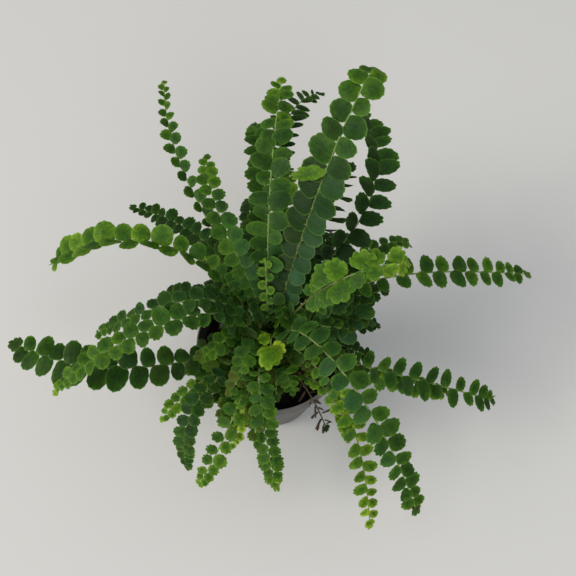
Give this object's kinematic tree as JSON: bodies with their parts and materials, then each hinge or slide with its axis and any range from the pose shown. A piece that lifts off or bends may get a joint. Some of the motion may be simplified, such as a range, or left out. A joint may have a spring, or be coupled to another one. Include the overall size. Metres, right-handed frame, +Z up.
{
  "type": "potted fern",
  "caption": "Small living fern with round leaflets on arching fronds, standing in peat in a plain round nursery pot.",
  "frame": {"origin": "centre of the pot's flat underside, where it stands", "axes": "+Z up the pot's axis, +X to the right and +Y to the back as the plant is seen in the picture"},
  "size_m": [0.4246, 0.3397, 0.3147],
  "materials": {
    "pot_plastic": "moulded polypropylene, satin, dark grey",
    "peat": "moist black peat",
    "leaf_old": "dark blue-green leaf with a faint bloom",
    "leaf_full": "mid-green leaf, slightly leathery",
    "leaf_young": "yellow-green young leaf"
  },
  "bodies": {
    "root": {"pot": "pot_plastic", "soil": "peat", "frond_tall": "leaf_old", "frond_back": "leaf_full", "frond_back_low": "leaf_full", "frond_back_left": "leaf_full", "frond_back_left_short": "leaf_young", "frond_left_small": "leaf_full", "frond_left_top": "leaf_full", "frond_left_arch": "leaf_full", "frond_left_mid": "leaf_full", "frond_left_long": "leaf_old", "frond_front_left": "leaf_full", "frond_front_fork": "leaf_young", "frond_front_drop": "leaf_young", "frond_right_drop": "leaf_young", "frond_right_long": "leaf_full", "frond_right_low": "leaf_full", "frond_right_under": "leaf_young", "frond_right_reach": "leaf_full", "frond_back_right": "leaf_full", "frond_back_right_low": "leaf_full", "frond_bright": "leaf_young", "frond_right_turn": "leaf_old", "frond_back_twin": "leaf_full", "frond_between": "leaf_full", "frond_behind_tall": "leaf_full", "frond_crown_pale": "leaf_young", "frond_crown_leaf": "leaf_young", "frond_left_wisp": "leaf_young", "frond_left_stub": "leaf_young", "frond_left_pale": "leaf_young", "frond_front_pale": "leaf_young", "frond_right_fold": "leaf_young", "frond_front_rim": "leaf_young", "frond_front_inner": "leaf_full", "frond_left_inner": "leaf_full", "frond_left_fill": "leaf_old", "frond_back_fill": "leaf_old", "frond_back_left_fill": "leaf_old", "frond_right_fill": "leaf_old", "frond_right_fill_low": "leaf_old", "frond_front_fill": "leaf_full"}
  },
  "joints": []
}
